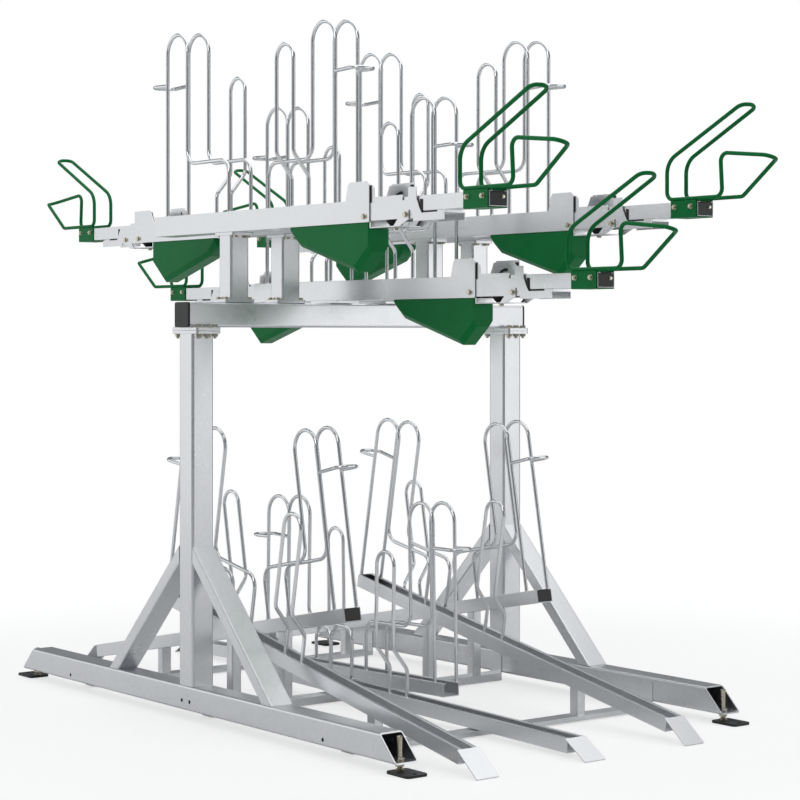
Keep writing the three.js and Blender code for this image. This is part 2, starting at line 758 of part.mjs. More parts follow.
// A short post with a plate at each end
function shortPost() {
  const foot = topBeamTop + fitGap;
  const head = highRail - fitGap;
  const lap = shortPostFlange / 2;
  const section = tubeSection(shortPostSize, shortPostSize, shortPostCorner, shortPostWall);
  const [wide, narrow] = [shortPlateLong / 2, beamSize / 2];
  const drain = roundedRect(drainHole, drainHole, drainHole / 2);
  return geometryOf(cut(join([
    upright(section, foot + lap, head - lap),
    upright(roundedRect(wide, narrow, shortPostCorner), foot, foot + shortPostFlange),
    upright(roundedRect(narrow, wide, shortPostCorner), head - shortPostFlange, head),
  ]), [upright(drain, foot - overrun, foot + shortPostFlange + overrun)]));
}

// A tie between the base beams: a hooked plate at each end, and a leg under each tray
function tie(legs, height) {
  const ends = baseInner - fitGap;
  const half = tieWidth / 2;
  const parts = [block([-ends, ends], [-half, half], [tieLift, height])];
  for (const end of [-1, 1]) {
    const plate = [end * (ends - tieSheet), end * ends].sort((a, b) => a - b);
    const hook = [end * (ends - tieSheet / 2), end * (ends + hookReach)].sort((a, b) => a - b);
    parts.push(block(plate, [-half, half], [tieLift, hookTop]));
    for (const side of [-1, 1]) {
      parts.push(block(hook, [side * hookShift - hookThick / 2, side * hookShift + hookThick / 2],
        [hookBottom, hookTop]));
    }
  }
  const trough = block([tieSheet - ends, ends - tieSheet], [tieSheet - half, half - tieSheet],
    [tieLift - overrun, height - tieSheet]);
  const body = cut(join(parts), [trough]);
  return geometryOf(legs.reduce((whole, leg) => whole.add(leg(height)), body));
}

// A square tube leg on a tie, cut to the slope of the tray that it carries
function trayLeg(x, out, turned, backTop, frontTop) {
  return (height) => {
    const half = legSize / 2;
    const under = (place) => trayUnderside(backTop, frontTop, place) - fitGap;
    const steep = under(out - half) - under(out + half);
    const tall = under(out - half) - height > 2 * legSize;
    const section = tall
      ? tubeSection(legSize, legSize, legCorner, legWall)
      : roundedRect(half, half, legCorner);
    const tube = upright(section, height - rodSink, under(out - half) + steep);
    const wedge = across(outline([
      [-half - overrun, under(out - half - overrun)], [half + overrun, under(out + half + overrun)],
      [half + overrun, under(out - half) + 2 * steep + overrun],
      [-half - overrun, under(out - half) + 2 * steep + overrun],
    ]), -half - overrun, half + overrun);
    const body = cut(solid(tube), [wedge]);
    return solid(geometryOf(body).rotateZ(turned ? Math.PI : 0).translate(x, 0, 0));
  };
}

// The whole rack: fixed frame, then the six places
const rack = new THREE.Group();
function add(parent, name, geometry, finish) {
  const mesh = new THREE.Mesh(geometry, new THREE.MeshStandardMaterial(finish));
  mesh.name = name;
  parent.add(mesh);
  return mesh;
}

for (const [side, word] of [[-1, 'left'], [1, 'right']]) {
  const stand = new THREE.Group();
  stand.position.x = side * baseSpread / 2;
  rack.add(stand);
  add(stand, `base_beam_${word}`, baseBeam(-side), galvanised);
  add(stand, `post_${word}`, mainPost(), galvanised);
  add(rack, `beam_cap_${word}`, beamCap(), blackPlastic).rotation.z = side > 0 ? 0 : Math.PI;
  for (const [turn, end] of [[0, 'front'], [Math.PI, 'back']]) {
    add(stand, `foot_${end}_${word}`, levellingFoot(), blackPlastic).rotation.z = turn;
    add(stand, `brace_${end}_${word}`, brace(), galvanised).rotation.z = turn;
  }
}
add(rack, 'top_beam', topBeam(), galvanised);

const legsAt = { centre: [], outer: [] };
const placeX = (index) => (index - (placeCount - 1) / 2) * placePitch;
for (let index = 0; index < placeCount; index += 1) {
  const low = Math.abs(placeX(index)) < placePitch * lowPlaceCount / 2;
  const turned = index % 2 === 1;
  const tops = low ? [lowBackTop, lowFrontTop] : [highBackTop, highFrontTop];
  legsAt.centre.push(trayLeg(placeX(index), 0, turned, ...tops));
  if (!turned) legsAt.outer.push(trayLeg(placeX(index), tieOut, false, ...tops));

  const place = new THREE.Group();
  place.position.x = placeX(index);
  place.rotation.z = turned ? Math.PI : 0;
  rack.add(place);
  const number = index + 1;
  add(place, `lower_tray_${number}`, lowerTray(...tops), galvanised);

  const upper = new THREE.Group();
  upper.position.z = low ? lowRail : highRail;
  place.add(upper);
  add(upper, `rail_${number}`, upperRail(low), galvanised);
  add(upper, `spring_housing_${number}`, springHousing(), greenPaint);
  add(upper, `cradle_${number}`, tiltCradle(), galvanised);
  add(upper, `upper_tray_${number}`, upperTray(), galvanised);
  add(upper, `handle_${number}`, pullHandle(), greenPaint);
  if (!low) {
    add(rack, `short_post_${number}`, shortPost(), galvanised).position.x = placeX(index);
  }
}

add(rack, 'tie_centre', tie(legsAt.centre, centreTieTop), galvanised);
for (const [turn, end] of [[0, 'front'], [Math.PI, 'back']]) {
  const bar = new THREE.Group();
  bar.position.y = turn ? tieOut : -tieOut;
  bar.rotation.z = turn;
  rack.add(bar);
  add(bar, `tie_${end}`, tie(legsAt.outer, outerTieTop), galvanised);
}

export default rack;
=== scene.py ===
import math

import bpy
from mathutils import Matrix, Vector


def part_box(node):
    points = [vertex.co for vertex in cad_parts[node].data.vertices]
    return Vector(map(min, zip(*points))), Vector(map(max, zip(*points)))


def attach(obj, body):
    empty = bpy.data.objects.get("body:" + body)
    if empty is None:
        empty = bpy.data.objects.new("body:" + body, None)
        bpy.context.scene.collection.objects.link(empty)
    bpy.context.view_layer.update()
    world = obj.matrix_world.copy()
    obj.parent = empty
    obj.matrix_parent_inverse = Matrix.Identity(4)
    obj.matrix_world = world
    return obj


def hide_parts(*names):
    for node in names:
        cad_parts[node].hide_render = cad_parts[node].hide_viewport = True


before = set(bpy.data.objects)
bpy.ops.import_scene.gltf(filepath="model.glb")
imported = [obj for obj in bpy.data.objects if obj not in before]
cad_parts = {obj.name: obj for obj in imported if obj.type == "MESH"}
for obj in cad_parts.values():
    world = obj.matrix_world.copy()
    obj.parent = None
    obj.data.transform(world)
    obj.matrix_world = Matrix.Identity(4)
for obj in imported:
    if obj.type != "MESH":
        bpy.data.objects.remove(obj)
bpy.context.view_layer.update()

# The view. The rack stands on a pale studio floor and is seen level, from the front left,
# through a long lens. The frame is shifted down a little, as the photograph is.
camera_place = (-4.2738, -5.7767, 1.21825)
camera_heading = -37.59                     # degrees about Z
camera_lens, camera_sensor = 96.36, 36
frame_shift = -65.09 / 800
bpy.ops.object.select_all(action="DESELECT")
bpy.ops.object.camera_add(location=camera_place,
                          rotation=(math.radians(90), 0, math.radians(camera_heading)))
camera = bpy.context.object
camera.data.lens, camera.data.sensor_width = camera_lens, camera_sensor
camera.data.shift_y = frame_shift
camera.data.clip_end = 60
bpy.context.scene.camera = camera
bpy.context.scene.view_settings.view_transform = "Standard"


# The studio floor and its soft light: a white floor that fades into a white room, two large
# soft lamps on the left, a weaker one on the right and a wide one overhead. The class below
# is how every finish of the rack is written.
class Signal:
    """An output of a shader node, on which sums can be done."""

    def __init__(self, tree, socket=None):
        self.tree, self.socket = tree, socket

    def node(self, kind, settings=None, sockets=None, out=0):
        node = self.tree.nodes.new(kind)
        for name, value in (settings or {}).items():
            setattr(node, name, value)
        for name, value in (sockets or {}).items():
            if isinstance(value, Signal):
                self.tree.links.new(value.socket, node.inputs[name])
            else:
                node.inputs[name].default_value = value
        return Signal(self.tree, node.outputs[out])

    def _sum(self, operation, first, second):
        return self.node("ShaderNodeMath", {"operation": operation}, {0: first, 1: second})

    def __add__(self, other):
        return self._sum("ADD", self, other)

    def __sub__(self, other):
        return self._sum("SUBTRACT", self, other)

    def __rsub__(self, other):
        return self._sum("SUBTRACT", other, self)

    def __mul__(self, other):
        return self._sum("MULTIPLY", self, other)

    __radd__, __rmul__ = __add__, __mul__


def new_finish(name):
    material = bpy.data.materials.new(name)
    material.use_nodes = True
    return material, Signal(material.node_tree), material.node_tree.nodes["Principled BSDF"]


room_radius, floor_drop = 14, 0.0005
near_glow, near_lift, fade_from, fade_to = 0.5, 0.30, 1.6, 4.2
floor_tone, floor_rough, floor_sheen = 0.90, 0.55, 0.25
bpy.ops.mesh.primitive_circle_add(vertices=96, radius=room_radius, fill_type="NGON",
                                  location=(0, 0, -floor_drop))
floor = bpy.context.object
floor.name = "studio_floor"
floor_finish, sheet, shader = new_finish("studio_floor")
shader.inputs["Base Color"].default_value = (floor_tone, floor_tone, floor_tone, 1)
shader.inputs["Roughness"].default_value = floor_rough
shader.inputs["Specular IOR Level"].default_value = floor_sheen
rays = sheet.node("ShaderNodeLightPath", out="Is Camera Ray")
place = sheet.node("ShaderNodeTexCoord", out="Object")
away = sheet.node("ShaderNodeVectorMath", {"operation": "LENGTH"}, {0: place}, out="Value")
fade = sheet.node("ShaderNodeMapRange", {"interpolation_type": "SMOOTHSTEP"},
                  {"Value": away, "From Min": fade_from, "From Max": fade_to})
white = sheet.node("ShaderNodeEmission", None, {
    "Color": (1, 1, 1, 1), "Strength": (1 - fade) * near_lift + 1})
mix = floor_finish.node_tree.nodes.new("ShaderNodeMixShader")
glow = rays * (fade * (1 - near_glow) + near_glow)
floor_finish.node_tree.links.new(glow.socket, mix.inputs[0])
floor_finish.node_tree.links.new(shader.outputs[0], mix.inputs[1])
floor_finish.node_tree.links.new(white.socket, mix.inputs[2])
floor_finish.node_tree.links.new(mix.outputs[0], floor_finish.node_tree.nodes["Material Output"].inputs[0])
floor.data.materials.append(floor_finish)

room_tone = (0.20, 0.21, 0.22, 1)
world = bpy.data.worlds.new("studio")
world.use_nodes = True
bpy.context.scene.world = world
air = Signal(world.node_tree)
seen = air.node("ShaderNodeLightPath", out="Is Camera Ray")
tone = air.node("ShaderNodeMix", {"data_type": "RGBA"}, {
    "Factor": seen, "A": room_tone, "B": (1, 1, 1, 1)}, out="Result")
world.node_tree.links.new(tone.socket, world.node_tree.nodes["Background"].inputs["Color"])
lamp_target = Vector((0, 0, 1))             # about the middle of the rack
for name, place, size, power in (
        ("back_left_lamp", (-4.6, 5.2, 2.4), 5.0, 63),
        ("key_lamp", (-5.5, -2.5, 4.6), 3.2, 70),
        ("fill_lamp", (4.2, -5.4, 1.6), 3.4, 40),
        ("top_lamp", (0.8, 0.2, 5.6), 8.0, 220)):
    bpy.ops.object.light_add(type="AREA", location=place)
    lamp = bpy.context.object
    lamp.name, lamp.data.size, lamp.data.energy = name, size, power
    lamp.rotation_euler = (lamp_target - Vector(place)).to_track_quat("-Z", "Y").to_euler()


# The base beams. Square steel tube, saw-cut at 45 degrees at both ends, slotted on the inner
# face for the ties' hooks and drilled on the outer face, then hot-dip galvanised.
def linked(material, shader, colour, gloss, relief):
    """Feeds a finish's colour, gloss and relief to its shader."""
    for name, signal in (("Base Color", colour), ("Roughness", gloss), ("Normal", relief)):
        material.node_tree.links.new(signal.socket, shader.inputs[name])
    return material


def galvanised_steel(name, pale, dark, rough, spangle_size, relief_strength=0.10):
    """Zinc with faint crystals, cloudy patches and a fine grain."""
    soft_edge, cloud_scale, grain_scale, relief_depth = 0.35, 7, 900, 0.0005
    # What the crystals, the clouds and the grain each add to the colour, the gloss and the relief.
    in_colour, in_gloss, in_relief = (0.35, 0.35, 0.30), (0.06, 0.10, 0.08), (0.15, 0.6, 0.5)
    material, sheet, shader = new_finish(name)
    place = sheet.node("ShaderNodeTexCoord", out="Object")
    cells = sheet.node("ShaderNodeTexVoronoi", {"feature": "SMOOTH_F1"},
                       {"Vector": place, "Scale": 1 / spangle_size, "Smoothness": soft_edge}, out="Color")
    spangle = sheet.node("ShaderNodeRGBToBW", None, {"Color": cells})
    clouds = sheet.node("ShaderNodeTexNoise", None, {"Vector": place, "Scale": cloud_scale, "Detail": 4})
    grain = sheet.node("ShaderNodeTexNoise", None, {"Vector": place, "Scale": grain_scale, "Detail": 2})
    tone = spangle * in_colour[0] + clouds * in_colour[1] + grain * in_colour[2]
    colour = sheet.node("ShaderNodeMix", {"data_type": "RGBA"},
                        {"Factor": tone, "A": (*dark, 1), "B": (*pale, 1)}, out="Result")
    gloss = (rough + (spangle - 0.5) * in_gloss[0] + (clouds - 0.5) * in_gloss[1]
             + (grain - 0.5) * in_gloss[2])
    relief = sheet.node("ShaderNodeBump", None, {
        "Strength": relief_strength, "Distance": relief_depth,
        "Height": clouds * in_relief[1] + grain * in_relief[2] + spangle * in_relief[0]})
    shader.inputs["Metallic"].default_value = 1.0
    return linked(material, shader, colour, gloss, relief)


steel = galvanised_steel("galvanised_tube", pale=(0.85, 0.86, 0.87), dark=(0.70, 0.71, 0.73),
                         rough=0.31, spangle_size=0.010)


def pick(obj, kind, test):
    """In edit mode, selects the vertices, edges or faces that pass a test, and nothing else."""
    bpy.ops.mesh.select_all(action="DESELECT")
    bpy.ops.mesh.select_mode(type=kind)
    bpy.ops.object.mode_set(mode="OBJECT")
    parts = {"VERT": obj.data.vertices, "EDGE": obj.data.edges, "FACE": obj.data.polygons}[kind]
    for part in parts:
        part.select = bool(test(part))
    bpy.ops.object.mode_set(mode="EDIT")


def ends_of(obj, edge):
    return [obj.data.vertices[index].co for index in edge.vertices]


same_place = 1e-6                           # metres apart that still count as one place
along_x, along_y, along_z = 0, 1, 2


def runs_along(obj, edge, axis):
    """Whether an edge lies along one axis."""
    first, last = ends_of(obj, edge)
    return all(abs(first[i] - last[i]) < same_place for i in range(3) if i != axis)


def start_block(name, low, high):
    """Adds a block between two corners and opens it for editing."""
    bpy.ops.object.select_all(action="DESELECT")
    bpy.ops.mesh.primitive_cube_add(size=1)
    block = bpy.context.object
    block.name = name
    bpy.ops.object.mode_set(mode="EDIT")
    bpy.ops.transform.resize(value=[b - a for a, b in zip(low, high)])
    bpy.ops.transform.translate(value=[(a + b) / 2 for a, b in zip(low, high)])
    return block


def apply_modifier(obj, kind, **settings):
    bpy.context.view_layer.objects.active = obj
    modifier = obj.modifiers.new(kind.lower(), kind)
    for name, value in settings.items():
        setattr(modifier, name, value)
    bpy.ops.object.modifier_apply(modifier=modifier.name)


def finished(obj, material, slot, body, *nodes, angle=35):
    """Smooths a piece but keeps its flats flat, gives it its finish and lets it ride."""
    bpy.ops.object.select_all(action="DESELECT")
    obj.select_set(True)
    bpy.context.view_layer.objects.active = obj
    bpy.ops.object.shade_smooth_by_angle(angle=math.radians(angle))
    apply_modifier(obj, "WEIGHTED_NORMAL", keep_sharp=True, weight=100)
    obj.data.materials.clear()
    obj.data.materials.append(material)
    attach(obj, body)
    if nodes:
        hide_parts(*nodes)
    return obj


def copy_of(obj, name, matrix):
    """A copy with its own mesh, put in place in the mesh itself."""
    twin = bpy.data.objects.new(name, obj.data.copy())
    bpy.context.collection.objects.link(twin)
    twin.data.transform(matrix)
    if matrix.to_3x3().determinant() < 0:
        twin.data.flip_normals()
    return twin


def joined(name, objects):
    bpy.ops.object.select_all(action="DESELECT")
    for obj in objects:
        obj.select_set(True)
    bpy.context.view_layer.objects.active = objects[0]
    if len(objects) > 1:
        bpy.ops.object.join()
    objects[0].name = name
    return objects[0]


def dropped(*objects):
    for obj in objects:
        bpy.data.objects.remove(obj)


square_on = 0.9                             # how far a normal lies along an axis to face it


def square_tube(name, low, high, axis, corner, wall):
    """A tube with rounded corners and open ends, lying along one axis."""
    tube = start_block(name, low, high)
    pick(tube, "EDGE", lambda edge: runs_along(tube, edge, axis))
    bpy.ops.mesh.bevel(offset=corner, segments=5, affect="EDGES")
    pick(tube, "FACE", lambda face: abs(face.normal[axis]) > square_on)
    bpy.ops.mesh.delete(type="FACE")
    bpy.ops.object.mode_set(mode="OBJECT")
    apply_modifier(tube, "SOLIDIFY", thickness=wall, offset=-1, use_even_offset=True)
    return tube


def cut_from(obj, cutters):
    tool = joined("cutter", cutters)
    apply_modifier(obj, "BOOLEAN", operation="DIFFERENCE", object=tool, solver="EXACT")
    dropped(tool)


def drill(radius, low, high, sides=24):
    """A round cutter between two points."""
    low, high = Vector(low), Vector(high)
    bpy.ops.object.select_all(action="DESELECT")
    bpy.ops.mesh.primitive_cylinder_add(
        vertices=sides, radius=radius, depth=(high - low).length, location=(low + high) / 2,
        rotation=(high - low).to_track_quat("Z", "Y").to_euler())
    bpy.ops.object.transform_apply()
    return bpy.context.object


def slit(low, high):
    """A block that cuts a slot or takes off an end."""
    block = start_block("slit", low, high)
    bpy.ops.object.mode_set(mode="OBJECT")
    return block


tube_round, tube_wall, past = 0.008, 0.004, 0.010
spindle_out, spindle_bore = 1.058, 0.009
side_holes, side_bore = ((0.745, 0.050), (0.023, 0.061)), 0.006
tie_outs, hook_shift, hook_slot = (-0.755, 0, 0.755), 0.020, (0.0033, 0.0510, 0.0948)
mitre_length, mitre = 0.2, math.radians(45)
base_low, base_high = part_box("base_beam_left")
base_middle = (base_low[0] + base_high[0]) / 2
beam = square_tube("base_beam", base_low, base_high, along_y, tube_round, tube_wall)
cutters = []
for end in (-1, 1):
    wedge = slit((base_low[0] - past, -mitre_length, 0),
                 (base_high[0] + past, mitre_length, mitre_length))
    wedge.data.transform(Matrix.Translation((-base_middle, 0, 0)))
    wedge.data.transform(Matrix.Rotation(-mitre * end, 4, "X"))
    wedge.data.transform(Matrix.Translation((base_middle, end * base_high[1], base_low[2])))
    cutters.append(wedge)
    cutters.append(drill(spindle_bore, (base_middle, end * spindle_out, base_low[2] - past),
                         (base_middle, end * spindle_out, base_low[2] + past)))
    for out, up in side_holes:
        cutters.append(drill(side_bore, (base_low[0] - past, end * out, up),
                             (base_low[0] + past, end * out, up)))
for middle in tie_outs:
    for side in (-1, 1):
        place = middle + side * hook_shift
        cutters.append(slit((base_high[0] - past, place - hook_slot[0], hook_slot[1]),
                            (base_high[0] + past, place + hook_slot[0], hook_slot[2])))
cut_from(beam, cutters)
twin = copy_of(beam, "base_beam_r", Matrix.Scale(-1, 4, (1, 0, 0)))
finished(beam, steel, "galvanised_steel", "frame", "base_beam_left", angle=30)
finished(twin, steel, "galvanised_steel", "frame", "base_beam_right", angle=30)


# The levelling feet. A black pad with a hole for an anchor bolt, a zinc-plated threaded
# spindle that passes through the beam's bottom wall, and a nut on each side of that wall.
def black_moulding(name, tone, rough, grain_size):
    """Black plastic or rubber with a fine grain, a little paler in patches."""
    worn, worn_blue, patch_scale = 1.8, 1.9, 14
    grain_strength, grain_depth, gloss_range = 0.2, 0.0003, 0.15
    material, sheet, shader = new_finish(name)
    place = sheet.node("ShaderNodeTexCoord", out="Object")
    grain = sheet.node("ShaderNodeTexNoise", None, {"Vector": place, "Scale": 1 / grain_size, "Detail": 2})
    clouds = sheet.node("ShaderNodeTexNoise", None, {"Vector": place, "Scale": patch_scale, "Detail": 3})
    colour = sheet.node("ShaderNodeMix", {"data_type": "RGBA"}, {
        "Factor": clouds, "A": (tone, tone, tone, 1), "B": (tone * worn, tone * worn, tone * worn_blue, 1)},
        out="Result")
    relief = sheet.node("ShaderNodeBump", None, {
        "Strength": grain_strength, "Distance": grain_depth, "Height": grain})
    gloss = rough + (clouds - 0.5) * gloss_range
    return linked(material, shader, colour, gloss, relief)


plastic = black_moulding("black_plastic", tone=0.012, rough=0.42, grain_size=0.0012)
rubber = black_moulding("black_rubber", tone=0.010, rough=0.66, grain_size=0.0008)
bolt_zinc = galvanised_steel("zinc_plate", pale=(0.74, 0.70, 0.60), dark=(0.58, 0.54, 0.43),
                             rough=0.26, spangle_size=0.004, relief_strength=0.05)


def ease_edges(obj, width, segments=2, angle=60):
    apply_modifier(obj, "BEVEL", width=width, segments=segments, limit_method="ANGLE",
                   angle_limit=math.radians(angle))


def plate(name, low, high, axis, corner, edge=0.0008):
    """A flat plate with rounded corners, its thickness along one axis."""
    sheet = start_block(name, low, high)
    pick(sheet, "EDGE", lambda part: runs_along(sheet, part, axis))
    bpy.ops.mesh.bevel(offset=corner, segments=4, affect="EDGES")
    bpy.ops.object.mode_set(mode="OBJECT")
    ease_edges(sheet, edge)
    return sheet


def turned(name, profile, sides):
    """A piece on the Z axis: a disc drawn up and resized through steps of (radius, height)."""
    radius, height = profile[0]
    bpy.ops.object.select_all(action="DESELECT")
    bpy.ops.mesh.primitive_circle_add(vertices=sides, radius=radius, fill_type="NGON",
                                      location=(0, 0, height))
    bpy.ops.object.transform_apply()
    piece = bpy.context.object
    piece.name = name
    bpy.ops.object.mode_set(mode="EDIT")
    bpy.ops.mesh.select_mode(type="FACE")
    bpy.ops.mesh.select_all(action="SELECT")
    for next_radius, next_height in profile[1:]:
        bpy.ops.mesh.extrude_region_move(TRANSFORM_OT_translate={"value": (0, 0, next_height - height)})
        bpy.ops.transform.resize(value=(next_radius / radius, next_radius / radius, 1))
        radius, height = next_radius, next_height
    bpy.ops.mesh.select_all(action="SELECT")
    bpy.ops.mesh.normals_make_consistent(inside=False)
    bpy.ops.object.mode_set(mode="OBJECT")
    return piece


def nut(across, low, high):
    """A six-sided nut or bolt head with its corners turned off."""
    edge_share = 0.06
    radius, edge = across / math.sqrt(3), across * edge_share
    return turned("nut", [(radius - edge, low), (radius, low + edge / 2), (radius, high - edge / 2),
                          (radius - edge, high)], sides=6)


pad_thick, pad_round, pad_edge, anchor_bore, anchor_inset = 0.008, 0.014, 0.0015, 0.007, 0.017
spindle_radius, spindle_top, thread_pitch, thread_depth = 0.008, 0.1035, 0.002, 0.0009
thread_sink, nut_across, washer_radius, collar_top_radius = 0.002, 0.0225, 0.0135, 0.011
collar_sink, collar_low, collar_high = 0.001, 0.002, 0.004
low_nut, low_washer_top = (0.0180, 0.0288), 0.0307
high_washer, high_nut_top = (0.0353, 0.0371), 0.0450
low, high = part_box("foot_front_left")
pad = plate("pad", low, (high[0], high[1], pad_thick), along_z, pad_round, pad_edge)
cut_from(pad, [drill(anchor_bore, (base_middle, low[1] + anchor_inset, -past),
                     (base_middle, low[1] + anchor_inset, pad_thick + past))])
threads = [(spindle_radius, pad_thick - thread_sink)]
while threads[-1][1] < spindle_top - thread_pitch:
    up = threads[-1][1]
    threads += [(spindle_radius - thread_depth, up + thread_pitch / 2), (spindle_radius, up + thread_pitch)]
threads.append((spindle_radius - thread_depth, spindle_top))
collar = [(washer_radius, pad_thick - collar_sink), (washer_radius, pad_thick + collar_low),
          (collar_top_radius, pad_thick + collar_high)]
spindle = joined("spindle", [
    turned("thread", threads, sides=20), turned("collar", collar, sides=24),
    nut(nut_across, *low_nut),
    turned("washer", [(washer_radius, low_nut[1]), (washer_radius, low_washer_top)], sides=28),
    turned("washer", [(washer_radius, high_washer[0]), (washer_radius, high_washer[1])], sides=28),
    nut(nut_across, high_washer[1], high_nut_top)])
spindle.data.transform(Matrix.Translation((base_middle, -spindle_out, 0)))
frame_corners = (
    ("front_left", Matrix.Identity(4)), ("back_left", Matrix.Scale(-1, 4, (0, 1, 0))),
    ("front_right", Matrix.Scale(-1, 4, (1, 0, 0))), ("back_right", Matrix.Rotation(math.pi, 4, "Z")))
for name, matrix in frame_corners:
    finished(copy_of(pad, f"pad_{name}", matrix), plastic, "black_plastic", "frame", f"foot_{name}")
    finished(copy_of(spindle, f"spindle_{name}", matrix), bolt_zinc, "galvanised_steel", "frame")
dropped(pad, spindle)


# The posts, top beam and short posts. Square tube with flat plates welded to its ends, so
# that the pieces bolt together on site: six bolts through each post's flange, four through
# each foot of a short post and four up into each high rail.
def bolt(across=0.0165, head=0.0075, washer=0.0120, shank=0.0, shank_radius=0.0050):
    """A hexagon head on a washer, with the end of its shank beyond it where that shows."""
    thick, rim, sunk, tip_edge = 0.0018, 0.0004, 0.0002, 0.001
    ring = [(washer - rim, 0), (washer, rim), (washer, thick - rim), (washer - rim, thick)]
    parts = [turned("washer", ring, sides=28), nut(across, thick - sunk, thick + head)]
    if shank:
        tip = thick + head + shank
        parts.append(turned("shank", [(shank_radius, thick), (shank_radius, tip - tip_edge),
                                      (shank_radius - tip_edge, tip)], sides=18))
    return joined("bolt", parts)


def bolted(name, model, spots, body, matrix=None):
    """Copies of one bolt, each at its place and turned to its direction, as one piece."""
    copies = []
    for place, aim in spots:
        turn = Vector(aim).to_track_quat("Z", "Y").to_matrix().to_4x4()
        home = (matrix or Matrix.Identity(4)) @ Matrix.Translation(place)
        copies.append(copy_of(model, name, home @ turn))
    return finished(joined(name, copies), bolt_zinc, "galvanised_steel", body)


half_tube, plate_thick, plate_lap = 0.040, 0.010, 0.006
plate_round, bolt_row, bolt_ways = 0.007, 0.059, (-0.032, 0, 0.032)
frame_bolt, frame_nut = bolt(), bolt(shank=0.006)   # under the flange the shank shows
for side in ("left", "right"):
    low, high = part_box(f"post_{side}")
    middle = (low[0] + high[0]) / 2
    tube = square_tube("tube", (middle - half_tube, -half_tube, low[2]),
                       (middle + half_tube, half_tube, high[2] - plate_lap), along_z, tube_round, tube_wall)
    flange = plate("flange", (low[0], low[1], high[2] - plate_thick), high, along_z, plate_round)
    finished(joined(f"main_post_{side}", [tube, flange]), steel, "galvanised_steel", "frame",
             f"post_{side}")
    beam_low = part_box("top_beam")[0][2]
    spots = [((middle + x, row * bolt_row, beam_low + plate_thick), (0, 0, 1))
             for x in bolt_ways for row in (-1, 1)]
    bolted(f"flange_bolts_{side}", frame_bolt, spots, "frame")
    spots = [((middle + x, row * bolt_row, high[2] - plate_thick), (0, 0, -1))
             for x in bolt_ways for row in (-1, 1)]
    bolted(f"flange_nuts_{side}", frame_nut, spots, "frame")

low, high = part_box("top_beam")
tube = square_tube("tube", (low[0], -half_tube, high[2] - 2 * half_tube), (high[0], half_tube, high[2]),
                   along_x, tube_round, tube_wall)
saddles = []
for side in ("left", "right"):
    flange_low, flange_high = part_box(f"post_{side}")
    saddles.append(plate("saddle", (flange_low[0], flange_low[1], low[2]),
                         (flange_high[0], flange_high[1], low[2] + plate_thick), along_z, plate_round))
finished(joined("cross_beam", [tube, *saddles]), steel, "galvanised_steel", "frame", "top_beam")

riser_half, riser_round, riser_wall, riser_wide, riser_bolt = 0.035, 0.007, 0.003, 0.055, 0.045
small_bolt = bolt(across=0.0130, head=0.0055, washer=0.0090)
raised_places = (1, 2, 5, 6)
for number in raised_places:
    low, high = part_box(f"short_post_{number}")
    middle = (low[0] + high[0]) / 2
    tube = square_tube("tube", (middle - riser_half, -riser_half, low[2] + plate_lap),
                       (middle + riser_half, riser_half, high[2] - plate_lap),
                       along_z, riser_round, riser_wall)
    foot = plate("foot", (middle - riser_wide, -half_tube, low[2]),
                 (middle + riser_wide, half_tube, low[2] + plate_thick), along_z, riser_round)
    head = plate("head", (middle - half_tube, -riser_wide, high[2] - plate_thick),
                 (middle + half_tube, riser_wide, high[2]), along_z, riser_round)
    finished(joined(f"riser_{number}", [tube, foot, head]), steel, "galvanised_steel", "frame",
             f"short_post_{number}")
    spots = [((middle + a * riser_bolt, b * riser_bolt / 2, low[2] + plate_thick), (0, 0, 1))
             for a in (-1, 1) for b in (-1, 1)]
    spots += [((middle + a * riser_bolt / 2, b * riser_bolt, high[2] - plate_thick), (0, 0, -1))
              for a in (-1, 1) for b in (-1, 1)]
    bolted(f"riser_bolts_{number}", small_bolt, spots, "frame")


# The braces. Flat rectangular tube, mitred at 45 degrees at both ends and welded between
# each post and its base beam, two to a post.
brace_round, brace_wall, brace_half_length = 0.005, 0.003, 0.45
low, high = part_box("brace_front_left")
middle = (low[0] + high[0]) / 2
brace = square_tube("brace", (-half_tube, -brace_half_length, -half_tube),
                    (half_tube, brace_half_length, 0), along_y, brace_round, brace_wall)
brace.data.transform(Matrix.Rotation(mitre, 4, "X"))
brace.data.transform(Matrix.Translation((middle, (low[1] + high[1]) / 2, (low[2] + high[2]) / 2)))
room = 2 * half_tube                        # the cutters reach a few tubes past the brace's box
cut_from(brace, [
    slit((low[0] - past, high[1], low[2] - 4 * room),
         (high[0] + past, high[1] + 5 * room, high[2] + 5 * room)),
    slit((low[0] - past, low[1] - 5 * room, low[2] - 5 * room),
         (high[0] + past, high[1] + room, low[2]))])
finished(brace, steel, "galvanised_steel", "frame", "brace_front_left")
for name, matrix in frame_corners[1:]:
    finished(copy_of(brace, f"strut_{name}", matrix), steel, "galvanised_steel", "frame", f"brace_{name}")


# The trays and their hoops. A rolled steel channel with turned-in lips, and wheel hoops bent
# from round bar and welded on the lips: two tall ones, joined behind the wheel by a level
# ring, and one small one. Black plugs close the upper trays and the steep lower ones.
bar_steel = galvanised_steel("galvanised_bar", pale=(0.86, 0.87, 0.88), dark=(0.78, 0.79, 0.805),
                             rough=0.15, spangle_size=0.010, relief_strength=0.005)
tray_steel = galvanised_steel("galvanised_tray", pale=(0.84, 0.85, 0.86), dark=(0.76, 0.77, 0.785),
                              rough=0.31, spangle_size=0.010, relief_strength=0.01)


